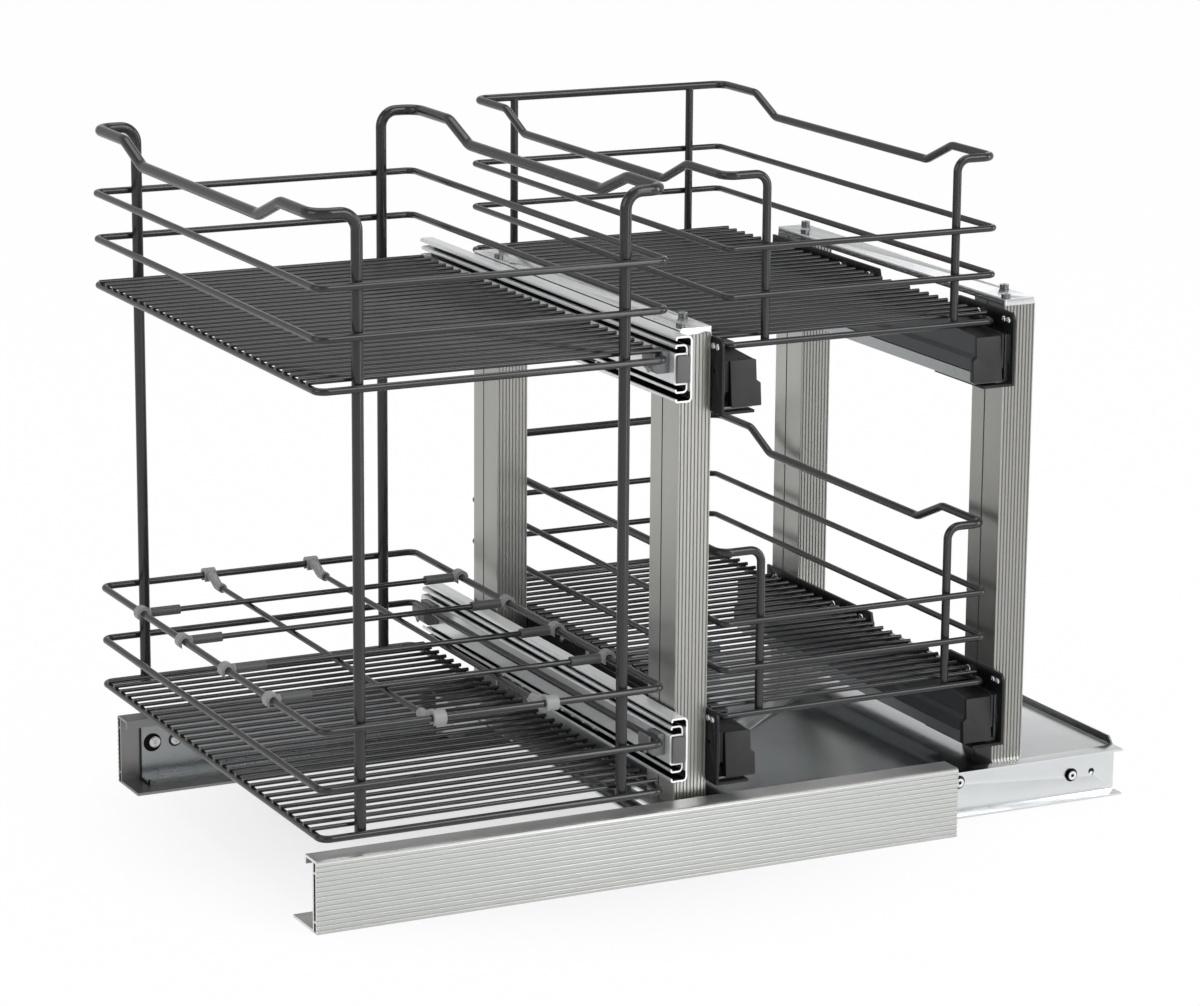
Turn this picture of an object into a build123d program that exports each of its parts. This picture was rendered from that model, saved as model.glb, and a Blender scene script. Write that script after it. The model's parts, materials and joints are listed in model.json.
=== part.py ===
# Pull-out rack for a corner cabinet: two floor rails, a tray that rolls between them,
# four posts on the tray, two front baskets hung on ball slides and two rear baskets on runners.
# Millimetres. X runs along the rails, Y away from the viewer, Z up.
# The origin is the centre of the rails' fixing holes, on the surface the rails stand on.
from build123d import *
import os

os.makedirs("parts", exist_ok=True)

# Clearances
roller_clearance = 0.05
moving_gap = 0.3
track_top_gap = 0.6
tray_top_gap = 3.4

# Rails
rail_length = 496.0
rail_span = 381.0
rail_height = 51.3
rail_wall = 7.0
rail_skin = 1.9
rail_chambers = ((1.0, 7.4), (8.8, 41.8))
top_chamber_bottom = 43.0
rail_foot_depth = 41.4
rail_foot_thickness = 2.0
hook_depth = 19.5
hook_lip_bottom = 45.0
hook_sheet = 1.8
rail_edge = 2.2
rail_toe = 0.5
flute_pitch = 3.4
flute_start = 2.6
flute_count = 14
flute_width = 1.3
flute_depth = 0.85
foot_hole_from_end = 20.0
foot_hole_from_outside = 32.0
foot_hole_radius = 2.1

# Roller tracks inside the rails
track_left_inset = 14.4
track_right_inset = 8.0
track_sheet = 1.5
track_bottom = 2.0
track_foot_reach = 18.5
track_top_reach = 9.5
track_lip_height = 2.6
access_hole_from_end = 9.6
access_hole_radius = 7.0
access_screw_from_end = 11.6
track_screw_z = 29.3
track_screw_left_inset = 27.6
track_screw_right_inset = 34.0
track_screw_hole_radius = 2.0
track_screw_head_radius = 3.8
access_screw_head_radius = 4.4
track_screw_head_height = 1.9
track_screw_socket = 1.4

# Tray
tray_left = 0.0
tray_right = 395.0
tray_sheet = 1.5
tray_side_gap = 2.5
tray_flange_width = 12.0
tray_bottom = 9.2
tray_end_flange_inset = 13.5
tray_end_flange_slope = 5.0
tray_end_flange_height = 5.5
tray_slot_length = 20.0
tray_slot_width = 5.0
tray_slot_places = ((18.0, -2.5), (29.0, 23.5))
tray_screw_insets = (132.5, 36.5)
tray_screw_heights = (32.5, 25.5)
tray_screw_radius = 2.5
tray_screw_length = 10.0
tray_screw_head_radius = 3.7
tray_screw_head_height = 2.0
tray_screw_socket = 1.3
tray_end_hole_inset = 19.0
tray_end_hole_z = 24.4
tray_end_hole_radius = 1.6
tray_notch = 18.0

# Rollers
roller_radius = 14.8
roller_width = 7.5
roller_edge = 0.6
roller_rim = 2.6
roller_hub = 2.8
roller_recess = 1.4
roller_side_gap = 2.7
axle_radius = 4.0
axle_collar_radius = 6.0
axle_collar_thickness = 1.5
track_axle_head_radius = 5.4
track_axle_head_thickness = 0.6
tray_axle_head_radius = 5.2
tray_axle_head_thickness = 1.0
track_roller_from_end = 100.0
tray_roller_from_end = 20.0

# Posts and the plates on top of them
post_x = 25.3
post_y = 41.6
post_wall = 2.0
post_corner = 1.0
post_left = 46.15
post_right = 305.45
post_near_gap = 8.7
post_far_gap = 0.4
post_top = 378.5
post_flute_pitch = 2.7
post_flute_count = 9
post_flute_width = 1.2
post_flute_depth = 0.9
post_groove_from_front = 23.6
post_groove_width = 1.5
post_groove_depth = 1.2
top_plate_thickness = 4.5
top_plate_corner = 1.5
cap_screw_x = 9.2
cap_screw_y = 15.9
cap_screw_head_radius = 3.3
cap_screw_head_height = 3.4
cap_screw_radius = 1.9
cap_screw_depth = 14.0
cap_screw_socket = 1.6
screw_port_wall = 1.4

# Brackets on the inner faces of the posts
bracket_sheet = 2.0
bracket_before_post = 15.2
bracket_behind_post = 4.4
bracket_below_floor = 45.0
bracket_above_floor = 7.5
bracket_foot_width = 13.0
bracket_tab_width = 25.5
bracket_tab_length = 66.5
bracket_corner = 6.0
recess_near = -102.0
recess_far = 12.0
recess_depth = 12.0
recess_slope = 4.0
bracket_middle_screw_y = (24.0, 67.0)
bracket_near_screw_from_post = 9.5
bracket_far_screw_from_post = 7.9
bracket_screw_radius = 2.0
bracket_screw_head_radius = 3.9
bracket_screw_head_height = 2.2
bracket_screw_socket = 1.5
bracket_hole_y = (-116.0, -109.0)
bracket_hole_radius = 1.5
bracket_tip_holes = ((2.4, 1.2), (8.6, 1.2), (3.8, -16.0))

# Front baskets
front_left = -241.7
front_right = 12.4
front_near = -185.3
front_far = 234.7
front_thin_radius = 2.5
front_thick_radius = 4.0
front_rail_high = 483.0
front_rail_low = 469.0
front_high_far_end = 168.0
front_low_far_end = 132.0
front_low_near_end = -86.0
front_high_near_end = -124.0
front_stem_x = (-211.2, -16.4)
front_floor_above_slide = 8.3
front_upper_hoops = (401.9, 435.6)
front_lower_floor_z = 64.0
front_lower_hoops = (98.1, 138.3)
front_foot_drop = 2.5
front_loop_bend = 12.0
front_slope_bend = 20.0
front_hoop_bend = 7.0
floor_wire_radius = 1.5
floor_wire_count = 30
floor_wire_inset = 0.2

# Divider that hangs in the lower front basket
divider_rod_radius = 2.0
divider_cross_y = (-98.5, -16.5, 66.5, 150.0)
divider_long_x = (-157.0, -73.5)
divider_long_drop = 4.0
divider_end_inset = 4.5
divider_end_flat = 6.0
divider_slope_end = 14.0
divider_rod_bend = 6.0
long_sleeve_end = 24.0
sleeve_length = 24.0
sleeve_radius = 3.5
sleeve_overlap = 0.6
clip_radius = 5.4
clip_length = 8.0
saddle_length = 9.0
saddle_bore_depth = 3.0

# Ball slides that carry the front baskets
slide_near = -182.0
slide_far = 240.0
slide_height = 46.0
slide_depth = 12.8
slide_sheet = 1.3
slide_upper_z = 359.3
slide_lower_z = 91.0
slide_lip = 2.8
slide_web_bend = 3.5
slide_flange_bend = 1.7
slide_edge_bend = 0.4
middle_height = 33.8
middle_start = 2.2
middle_end = 11.8
middle_setback = 2.6
inner_height = 22.0
inner_start = 4.0
inner_setback = 2.0
ball_row_depth = 6.5
ball_strip_width = 3.2
ball_strip_thickness = 0.8
cage_near = -60.0
cage_length = 170.0
ball_pitch = 17.0
ball_count = 10
slide_cap_height = 18.4
slide_cap_length = 12.0
cap_head_start = 1.8
cap_head_front = 0.6
cap_head_thickness = 2.8
cap_head_corner = 1.2
hook_left = 7.6
hook_drop = 12.0
hook_rise = 3.4
hook_lip_rise = 2.2
hook_chamfer = 4.0
hook_near = (-173.0, -157.0)
hook_far = (206.0, 228.0)

# Rear baskets
rear_left = 69.3
rear_right = 282.3
rear_near = -164.2
rear_far = 249.2
rear_thin_radius = 2.25
rear_thick_radius = 3.0
rear_stem_x = (101.6, 252.7)
rear_upper_floor_z = 368.7
rear_lower_floor_z = 104.7
rear_hoop_rise = (33.4, 66.6)
rear_rail_high = 116.3
rear_rail_low = 101.6
rear_high_far_end = 190.0
rear_low_far_end = 158.0
rear_low_near_end = -68.0
rear_high_near_end = -102.0
rear_foot_drop = 2.25
rear_loop_bend = 9.0
rear_slope_bend = 15.0
rear_hoop_bend = 5.5

# Runners under the rear baskets
runner_sheet = 1.5
runner_near = -169.5
runner_base_bottom = 43.0
runner_base_lip = 8.0
runner_base_width = 26.0
runner_base_wall_top = 9.0
middle_runner_near = -141.0
middle_runner_bottom = 40.6
middle_runner_top = 8.0
middle_runner_offset = 5.6
middle_runner_width = 14.5
moving_near = -170.0
moving_outer = 2.9
moving_upper_inner = 26.0
moving_lower_inner = 29.0
moving_step = 22.0
moving_step_slope = 2.5
moving_bottom = 33.0
block_near = -175.4
block_lean = 3.0
block_outer = 7.0
block_upper_inner = 27.0
block_lower_inner = 30.0
block_top = 9.0
block_back_top = 7.0
block_step = 23.2
block_step_slope = 2.2
block_bottom = 41.0
block_corner = 0.8
block_plug_length = 28.0
block_plug_side_gap = 0.4
block_plug_bottom = 31.0

# Sizes that follow from the ones above
web_outer_y = rail_span / 2 - rail_wall
web_inner_y = web_outer_y - track_sheet
foot_hole_x = rail_length / 2 - foot_hole_from_end
foot_hole_y = rail_span / 2 - foot_hole_from_outside
track_left = track_left_inset - rail_length / 2
track_right = rail_length / 2 - track_right_inset
track_floor = track_bottom + track_sheet
track_top = rail_height - hook_sheet - track_top_gap
tray_top = track_top - track_sheet - tray_top_gap
access_hole_x = track_left + access_hole_from_end
access_screw_x = track_left + access_screw_from_end
track_screw_x = (track_left + track_screw_left_inset, track_right - track_screw_right_inset)
tray_flange_y = web_inner_y - tray_side_gap
tray_web_y = tray_flange_y - tray_flange_width
roller_outer_y = web_inner_y - roller_side_gap
roller_inner_y = roller_outer_y - roller_width
track_roller_x = track_right - track_roller_from_end
tray_roller_x = tray_left + tray_roller_from_end
post_near = post_y / 2 + post_near_gap + hook_depth - rail_span / 2
post_far = rail_span / 2 - hook_depth - post_far_gap - post_y / 2
bracket_near = post_near - post_y / 2 - bracket_before_post
bracket_far = post_far + post_y / 2 + bracket_behind_post
bracket_screw_y = (
    post_near + bracket_near_screw_from_post,
    *bracket_middle_screw_y,
    post_far + bracket_far_screw_from_post,
)
tray_slots = [(tray_left + inset, post_near + behind) for inset, behind in tray_slot_places]
track_roller_z = tray_top - tray_sheet - moving_gap - roller_radius
tray_roller_z = track_floor + moving_gap + roller_radius
roller_bore = axle_radius + roller_clearance
slide_face_x = post_left - post_x / 2
left_bracket_x = post_left + post_x / 2
right_bracket_x = post_right - post_x / 2
slide_length = slide_far - slide_near
front_upper_floor_z = slide_upper_z + front_floor_above_slide
runner_far = bracket_far
plug_far = moving_near + block_plug_length


def save(shape, name):
    shape.label = name
    export_step(shape, f"parts/{name}.step")


# Floor rails


def rail(side):
    def across(depth):
        return side * (rail_span / 2 - depth)

    hook_under = rail_height - hook_sheet
    outline = [
        (across(rail_toe), 0),
        (across(rail_foot_depth), 0),
        (across(rail_foot_depth), rail_foot_thickness),
        (across(rail_wall), rail_foot_thickness),
        (across(rail_wall), hook_under),
        (across(hook_depth - hook_sheet), hook_under),
        (across(hook_depth - hook_sheet), hook_lip_bottom),
        (across(hook_depth), hook_lip_bottom),
        (across(hook_depth), rail_height),
        (across(rail_edge), rail_height),
        (across(0.25 * rail_edge), rail_height - 0.25 * rail_edge),
        (across(0), rail_height - rail_edge),
        (across(0), rail_toe),
    ]
    chambers = (*rail_chambers, (top_chamber_bottom, hook_under))
    flutes = [flute_start + flute_pitch * n for n in range(flute_count)]
    with BuildPart() as extrusion:
        with BuildSketch(Plane.YZ.offset(-rail_length / 2)):
            with BuildLine():
                Polyline(*outline, close=True)
            make_face()
            for low, high in chambers:
                with Locations((across(rail_wall / 2), (low + high) / 2)):
                    Rectangle(rail_wall - 2 * rail_skin, high - low, mode=Mode.SUBTRACT)
            with Locations(*[(across(0), z) for z in flutes]):
                Rectangle(2 * flute_depth, flute_width, mode=Mode.SUBTRACT)
        extrude(amount=rail_length)
        with BuildSketch(Plane.XY):
            with Locations((-foot_hole_x, side * foot_hole_y), (foot_hole_x, side * foot_hole_y)):
                Circle(foot_hole_radius)
        extrude(amount=rail_foot_thickness, mode=Mode.SUBTRACT)
        with BuildSketch(Plane((0, side * web_outer_y, 0), x_dir=(1, 0, 0), z_dir=(0, side, 0))):
            with Locations(*[(x, -side * track_screw_z) for x in (access_screw_x, *track_screw_x)]):
                Circle(track_screw_hole_radius)
        extrude(amount=rail_skin, mode=Mode.SUBTRACT)
    return extrusion.part


save(rail(-1), "rail_front")
save(rail(1), "rail_far")


# Roller tracks


def track(side):
    def across(depth):
        return side * (web_outer_y - depth)

    outline = [
        (across(0), track_bottom),
        (across(track_foot_reach), track_bottom),
        (across(track_foot_reach), track_bottom + track_sheet + track_lip_height),
        (across(track_foot_reach - track_sheet), track_bottom + track_sheet + track_lip_height),
        (across(track_foot_reach - track_sheet), track_floor),
        (across(track_sheet), track_floor),
        (across(track_sheet), track_top - track_sheet),
        (across(track_top_reach), track_top - track_sheet),
        (across(track_top_reach), track_top),
        (across(0), track_top),
    ]
    with BuildPart() as channel:
        with BuildSketch(Plane.YZ.offset(track_left)):
            with BuildLine():
                Polyline(*outline, close=True)
            make_face()
        extrude(amount=track_right - track_left)
        with BuildSketch(Plane((0, side * web_inner_y, 0), x_dir=(1, 0, 0), z_dir=(0, side, 0))):
            with Locations((access_hole_x, -side * track_screw_z)):
                Circle(access_hole_radius)
            with Locations(*[(x, -side * track_screw_z) for x in track_screw_x]):
                Circle(track_screw_hole_radius)
            with Locations((track_roller_x, -side * track_roller_z)):
                Circle(axle_radius)
        extrude(amount=track_sheet, mode=Mode.SUBTRACT)
    return channel.part


save(track(-1), "track_front")
save(track(1), "track_far")


def rod(start, direction, radius, length, mode=Mode.ADD):
    with BuildSketch(Plane(start, z_dir=direction)) as disc:
        Circle(radius)
    extrude(disc.sketch, amount=length, mode=mode)


def screw(head_at, direction, head_radius, head_height, shank_radius, shank_length, socket):
    # The head stands out against the direction that the shank points in
    backwards = tuple(-d for d in direction)
    top = tuple(p + b * head_height for p, b in zip(head_at, backwards))
    rod(head_at, direction, shank_radius, shank_length)
    rod(head_at, backwards, head_radius, head_height)
    with BuildSketch(Plane(top, z_dir=direction)) as recess:
        RegularPolygon(socket, 6)
    extrude(recess.sketch, amount=0.6 * head_height, mode=Mode.SUBTRACT)


# Screws that hold each track to its rail
with BuildPart() as track_screws:
    for side in (-1, 1):
        places = [(x, web_inner_y, track_screw_head_radius) for x in track_screw_x]
        for x, face_y, head_radius in (*places, (access_screw_x, web_outer_y, access_screw_head_radius)):
            screw(
                (x, side * face_y, track_screw_z),
                (0, side, 0),
                head_radius,
                track_screw_head_height,
                track_screw_hole_radius,
                web_outer_y + rail_skin - face_y,
                track_screw_socket,
            )
save(track_screws.part, "track_screws")


# Fixed axles, one in each track, and the rollers that the tray runs on
with BuildPart() as track_roller_axles:
    head_end = roller_inner_y - moving_gap
    for side in (-1, 1):
        spans = [
            (head_end - track_axle_head_thickness, head_end, track_axle_head_radius),
            (head_end, web_outer_y, axle_radius),
            (roller_outer_y + moving_gap, web_inner_y, axle_collar_radius),
        ]
        for start, end, radius in spans:
            rod((track_roller_x, side * start, track_roller_z), (0, side, 0), radius, end - start)
save(track_roller_axles.part, "track_roller_axles")


def roller(x, side, z):
    with BuildPart() as wheel:
        with BuildSketch(Plane((x, side * roller_inner_y, z), z_dir=(0, side, 0))):
            Circle(roller_radius)
            Circle(roller_bore, mode=Mode.SUBTRACT)
        extrude(amount=roller_width)
        chamfer(wheel.edges().filter_by(GeomType.CIRCLE).sort_by(SortBy.RADIUS)[-2:], roller_edge)
        for start, direction in ((roller_inner_y, side), (roller_outer_y, -side)):
            with BuildSketch(Plane((x, side * start, z), z_dir=(0, direction, 0))):
                Circle(roller_radius - roller_rim)
                Circle(roller_bore + roller_hub, mode=Mode.SUBTRACT)
            extrude(amount=roller_recess, mode=Mode.SUBTRACT)
    return wheel.part


save(roller(track_roller_x, -1, track_roller_z), "track_roller_front")
save(roller(track_roller_x, 1, track_roller_z), "track_roller_far")


# Tray that the posts stand on
with BuildPart() as tray:
    with BuildSketch(Plane.YZ.offset(tray_left)):
        with BuildLine():
            Polyline(
                (-tray_flange_y, tray_top),
                (-tray_flange_y, tray_top - tray_sheet),
                (-tray_web_y, tray_top - tray_sheet),
                (-tray_web_y, tray_bottom + tray_sheet),
                (-tray_flange_y, tray_bottom + tray_sheet),
                (-tray_flange_y, tray_bottom),
                (-tray_web_y + tray_sheet, tray_bottom),
                (-tray_web_y + tray_sheet, tray_top - tray_sheet),
                (tray_web_y - tray_sheet, tray_top - tray_sheet),
                (tray_web_y - tray_sheet, tray_bottom),
                (tray_flange_y, tray_bottom),
                (tray_flange_y, tray_bottom + tray_sheet),
                (tray_web_y, tray_bottom + tray_sheet),
                (tray_web_y, tray_top - tray_sheet),
                (tray_flange_y, tray_top - tray_sheet),
                (tray_flange_y, tray_top),
                close=True,
            )
        make_face()
    extrude(amount=tray_right - tray_left)
    end_flange = tray_flange_y - tray_end_flange_inset
    with BuildSketch(Plane.YZ.offset(tray_right - tray_sheet)):
        with BuildLine():
            Polyline(
                (-end_flange, tray_top),
                (end_flange, tray_top),
                (end_flange - tray_end_flange_slope, tray_top + tray_end_flange_height),
                (tray_end_flange_slope - end_flange, tray_top + tray_end_flange_height),
                close=True,
            )
        make_face()
    extrude(amount=tray_sheet)
    with BuildSketch(Plane.XY.offset(tray_top)):
        with Locations(*tray_slots):
            SlotOverall(tray_slot_length, tray_slot_width, rotation=90)
    extrude(amount=-tray_sheet, mode=Mode.SUBTRACT)
    # The lower flanges stop short of the rollers on the tray's left end
    notch_end = tray_roller_x + tray_notch
    for side in (-1, 1):
        web_face = side * (tray_web_y - tray_sheet)
        with BuildSketch(Plane.XY.offset(tray_bottom)):
            with Locations(((tray_left + notch_end) / 2, side * (tray_web_y + tray_flange_y) / 2)):
                Rectangle(notch_end - tray_left, tray_flange_width)
        extrude(amount=tray_sheet, mode=Mode.SUBTRACT)
        with BuildSketch(Plane((0, web_face, 0), x_dir=(1, 0, 0), z_dir=(0, side, 0))):
            with Locations((tray_roller_x, -side * tray_roller_z)):
                Circle(axle_radius)
            for inset, z in zip(tray_screw_insets, tray_screw_heights):
                with Locations((tray_right - inset, -side * z)):
                    Circle(tray_screw_radius)
            with Locations((tray_right - tray_end_hole_inset, -side * tray_end_hole_z)):
                Circle(tray_end_hole_radius)
        extrude(amount=tray_sheet, mode=Mode.SUBTRACT)
save(tray.part, "tray")


with BuildPart() as tray_screws:
    for side in (-1, 1):
        for inset, z in zip(tray_screw_insets, tray_screw_heights):
            screw(
                (tray_right - inset, side * tray_web_y, z),
                (0, -side, 0),
                tray_screw_head_radius,
                tray_screw_head_height,
                tray_screw_radius,
                tray_screw_length,
                tray_screw_socket,
            )
save(tray_screws.part, "tray_screws")


# Axles on the tray's left end, and their rollers
with BuildPart() as tray_roller_axles:
    web_back = tray_web_y - tray_sheet
    head_start = roller_outer_y + moving_gap
    for side in (-1, 1):
        spans = [
            (web_back - axle_collar_thickness, web_back, axle_collar_radius),
            (web_back, head_start, axle_radius),
            (tray_web_y, roller_inner_y - moving_gap, axle_collar_radius),
            (head_start, head_start + tray_axle_head_thickness, tray_axle_head_radius),
        ]
        for start, end, radius in spans:
            rod((tray_roller_x, side * start, tray_roller_z), (0, side, 0), radius, end - start)
save(tray_roller_axles.part, "tray_roller_axles")

save(roller(tray_roller_x, -1, tray_roller_z), "tray_roller_front")
save(roller(tray_roller_x, 1, tray_roller_z), "tray_roller_far")


# Posts, extruded, with fluted ends, one groove on the left face and two screw ports


def post(x, y, inner):
    ports = [(cap_screw_x, cap_screw_y), (-cap_screw_x, -cap_screw_y)]
    screw_y = min(bracket_screw_y) if y < 0 else max(bracket_screw_y)
    first_flute = -(post_flute_count - 1) * post_flute_pitch / 2
    flutes = [first_flute + n * post_flute_pitch for n in range(post_flute_count)]
    with BuildPart() as column:
        with BuildSketch(Plane((x, y, tray_top))):
            RectangleRounded(post_x, post_y, post_corner)
            Rectangle(post_x - 2 * post_wall, post_y - 2 * post_wall, mode=Mode.SUBTRACT)
            with Locations(*ports):
                Circle(cap_screw_radius + screw_port_wall)
                Circle(cap_screw_radius, mode=Mode.SUBTRACT)
            with Locations(*[(flute, end * post_y / 2) for flute in flutes for end in (-1, 1)]):
                Rectangle(post_flute_width, 2 * post_flute_depth, mode=Mode.SUBTRACT)
            with Locations((-post_x / 2, -post_y / 2 + post_groove_from_front)):
                Rectangle(2 * post_groove_depth, post_groove_width, mode=Mode.SUBTRACT)
        extrude(amount=post_top - tray_top)
        face_x = x + inner * post_x / 2
        for z in (rear_upper_floor_z, rear_lower_floor_z):
            with BuildSketch(Plane((face_x, screw_y, z), z_dir=(-inner, 0, 0))):
                Circle(bracket_screw_radius)
            extrude(amount=post_wall, mode=Mode.SUBTRACT)
    return column.part


save(post(post_left, post_near, 1), "post_front_left")
save(post(post_left, post_far, 1), "post_back_left")
save(post(post_right, post_near, -1), "post_front_right")
save(post(post_right, post_far, -1), "post_back_right")

port_places = [
    (x + end * cap_screw_x, y + end * cap_screw_y)
    for x in (post_left, post_right)
    for y in (post_near, post_far)
    for end in (-1, 1)
]


def top_plate(x):
    with BuildPart() as plate:
        with BuildSketch(Plane.XY.offset(post_top)):
            with Locations((x, (post_near + post_far) / 2)):
                RectangleRounded(post_x, post_far - post_near + post_y, top_plate_corner)
            with Locations(*[place for place in port_places if abs(place[0] - x) < post_x]):
                Circle(cap_screw_radius, mode=Mode.SUBTRACT)
        extrude(amount=top_plate_thickness)
    return plate.part


save(top_plate(post_left), "top_plate_left")
save(top_plate(post_right), "top_plate_right")

with BuildPart() as top_plate_screws:
    for place in port_places:
        screw(
            (*place, post_top + top_plate_thickness),
            (0, 0, -1),
            cap_screw_head_radius,
            cap_screw_head_height,
            cap_screw_radius,
            cap_screw_depth,
            cap_screw_socket,
        )
save(top_plate_screws.part, "top_plate_screws")


# Brackets that carry the runners


def bracket(face_x, inner, floor):
    low = floor - bracket_below_floor
    high = floor + bracket_above_floor
    with BuildPart() as plate:
        with BuildSketch(Plane.YZ.offset(face_x)):
            with BuildLine():
                edge = Polyline(
                    (bracket_near, high - bracket_corner),
                    (bracket_near, low),
                    (bracket_far, low),
                    (bracket_far, high),
                    (recess_far, high),
                    (recess_far - recess_slope, high - recess_depth),
                    (recess_near + recess_slope, high - recess_depth),
                    (recess_near, high),
                    (bracket_near + bracket_corner, high),
                )
                TangentArc(edge @ 1, edge @ 0, tangent=edge % 1)
            make_face()
            with Locations(*[(y, floor) for y in bracket_screw_y]):
                Circle(bracket_screw_radius, mode=Mode.SUBTRACT)
            tip_holes = [(post_near - post_y / 2 - ahead, floor + rise) for ahead, rise in bracket_tip_holes]
            with Locations(*[(y, floor) for y in bracket_hole_y], *tip_holes):
                Circle(bracket_hole_radius, mode=Mode.SUBTRACT)
        extrude(amount=inner * bracket_sheet)
        # The foot is wider near the front
        tab_far = bracket_near + bracket_tab_length
        for width, far in ((bracket_foot_width, bracket_far), (bracket_tab_width, tab_far)):
            with BuildSketch(Plane.XY.offset(low)):
                with Locations((face_x + inner * width / 2, (bracket_near + far) / 2)):
                    Rectangle(width, far - bracket_near)
            extrude(amount=bracket_sheet)
    return plate.part


save(bracket(left_bracket_x, 1, rear_upper_floor_z), "bracket_upper_left")
save(bracket(right_bracket_x, -1, rear_upper_floor_z), "bracket_upper_right")
save(bracket(left_bracket_x, 1, rear_lower_floor_z), "bracket_lower_left")
save(bracket(right_bracket_x, -1, rear_lower_floor_z), "bracket_lower_right")

with BuildPart() as bracket_screws:
    for face_x, inner in ((left_bracket_x, 1), (right_bracket_x, -1)):
        for floor in (rear_upper_floor_z, rear_lower_floor_z):
            for y in bracket_screw_y:
                screw(
                    (face_x + inner * bracket_sheet, y, floor),
                    (-inner, 0, 0),
                    bracket_screw_head_radius,
                    bracket_screw_head_height,
                    bracket_screw_radius,
                    bracket_sheet + post_wall,
                    bracket_screw_socket,
                )
save(bracket_screws.part, "bracket_screws")


# Ball slides, three nested channels with two rows of balls between each pair


def slide_plane(y):
    return Plane.XZ.offset(-y)


def slide_channel(z, half, start, end, near):
    # A lipped channel, open on the side away from the post
    quarter = [
        (start, -half, slide_web_bend),
        (end, -half, slide_flange_bend),
        (end, -half + slide_lip, slide_edge_bend),
        (end - slide_sheet, -half + slide_lip, slide_edge_bend),
        (end - slide_sheet, -half + slide_sheet, slide_edge_bend),
        (start + slide_sheet, -half + slide_sheet, slide_web_bend - slide_sheet),
    ]
    corners = quarter + [(depth, -height, bend) for depth, height, bend in reversed(quarter)]
    with BuildPart() as channel:
        with BuildSketch(slide_plane(slide_far)):
            with BuildLine():
                FilletPolyline(
                    *[(slide_face_x - depth, z + height) for depth, height, bend in corners],
                    radius=[bend for depth, height, bend in corners],
                    close=True,
                )
            make_face()
        extrude(amount=slide_far - near)
    return channel.part


def slide_outer(z):
    return slide_channel(z, slide_height / 2, 0, slide_depth, slide_near)


def slide_middle(z):
    return slide_channel(z, middle_height / 2, middle_start, middle_end, slide_near + middle_setback)


def slide_inner(z):
    half = inner_height / 2
    web = slide_depth - slide_sheet
    corners = [
        (slide_depth, -half, slide_flange_bend),
        (slide_depth, half, slide_flange_bend),
        (inner_start, half, slide_edge_bend),
        (inner_start, half - slide_sheet, slide_edge_bend),
        (web, half - slide_sheet, slide_edge_bend),
        (web, -half + slide_sheet, slide_edge_bend),
        (inner_start, -half + slide_sheet, slide_edge_bend),
        (inner_start, -half, slide_edge_bend),
    ]
    with BuildPart() as channel:
        with BuildSketch(slide_plane(slide_far)):
            with BuildLine():
                FilletPolyline(
                    *[(slide_face_x - depth, z + height) for depth, height, bend in corners],
                    radius=[bend for depth, height, bend in corners],
                    close=True,
                )
            make_face()
        extrude(amount=slide_length - inner_setback)
    return channel.part


save(slide_outer(slide_upper_z), "slide_outer_upper")
save(slide_outer(slide_lower_z), "slide_outer_lower")
save(slide_middle(slide_upper_z), "slide_middle_upper")
save(slide_middle(slide_lower_z), "slide_middle_lower")
save(slide_inner(slide_upper_z), "slide_inner_upper")
save(slide_inner(slide_lower_z), "slide_inner_lower")


def ball_rows(outside_face, inside_face):
    # Balls in a thin strip, above and below the middle of each slide
    ball_radius = (outside_face - inside_face) / 2 - moving_gap
    row = (outside_face + inside_face) / 2
    row_x = slide_face_x - ball_row_depth
    with BuildPart() as rows:
        for z in (slide_upper_z, slide_lower_z):
            for side in (-1, 1):
                with BuildSketch(Plane.XY.offset(z + side * row - ball_strip_thickness / 2)):
                    with Locations((row_x, cage_near + cage_length / 2)):
                        Rectangle(ball_strip_width, cage_length)
                extrude(amount=ball_strip_thickness)
                places = [
                    (row_x, cage_near + ball_pitch * (n + 0.5), z + side * row) for n in range(ball_count)
                ]
                with Locations(*places):
                    Sphere(ball_radius)
    return rows.part


save(ball_rows(slide_height / 2 - slide_sheet, middle_height / 2), "slide_balls_outer")
save(ball_rows(middle_height / 2 - slide_sheet, inner_height / 2), "slide_balls_inner")

# End caps, each a plug inside the inner channel with a head before the middle channel
cap_end = slide_depth - slide_sheet
with BuildPart() as slide_end_caps:
    for z in (slide_upper_z, slide_lower_z):
        with BuildSketch(slide_plane(slide_near + inner_setback + slide_cap_length)):
            with Locations((slide_face_x - (inner_start + cap_end) / 2, z)):
                Rectangle(cap_end - inner_start, slide_cap_height)
        extrude(amount=slide_cap_length)
        with BuildSketch(slide_plane(slide_near - cap_head_front + cap_head_thickness)):
            with Locations((slide_face_x - (cap_head_start + cap_end) / 2, z)):
                RectangleRounded(cap_end - cap_head_start, slide_cap_height, cap_head_corner)
        extrude(amount=cap_head_thickness)
save(slide_end_caps.part, "slide_end_caps")


# Hook blocks that clip the front baskets to the inner slide channels


def hook_blocks(wire_z):
    block_right = slide_face_x - slide_depth
    with BuildPart() as blocks:
        for near, far in (hook_near, hook_far):
            with BuildSketch(slide_plane(far)):
                with BuildLine():
                    Polyline(
                        (block_right, wire_z - hook_drop),
                        (block_right, wire_z + hook_rise),
                        (front_right + front_thin_radius, wire_z + hook_rise),
                        (front_right + front_thin_radius, wire_z),
                        (front_right - front_thin_radius, wire_z),
                        (front_right - front_thin_radius, wire_z + hook_lip_rise),
                        (hook_left, wire_z + hook_lip_rise),
                        (hook_left, wire_z - hook_drop + hook_chamfer),
                        (hook_left + hook_chamfer, wire_z - hook_drop),
                        close=True,
                    )
                make_face()
                with Locations((front_right, wire_z)):
                    Circle(front_thin_radius, mode=Mode.SUBTRACT)
            extrude(amount=far - near)
    return blocks.part


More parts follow.
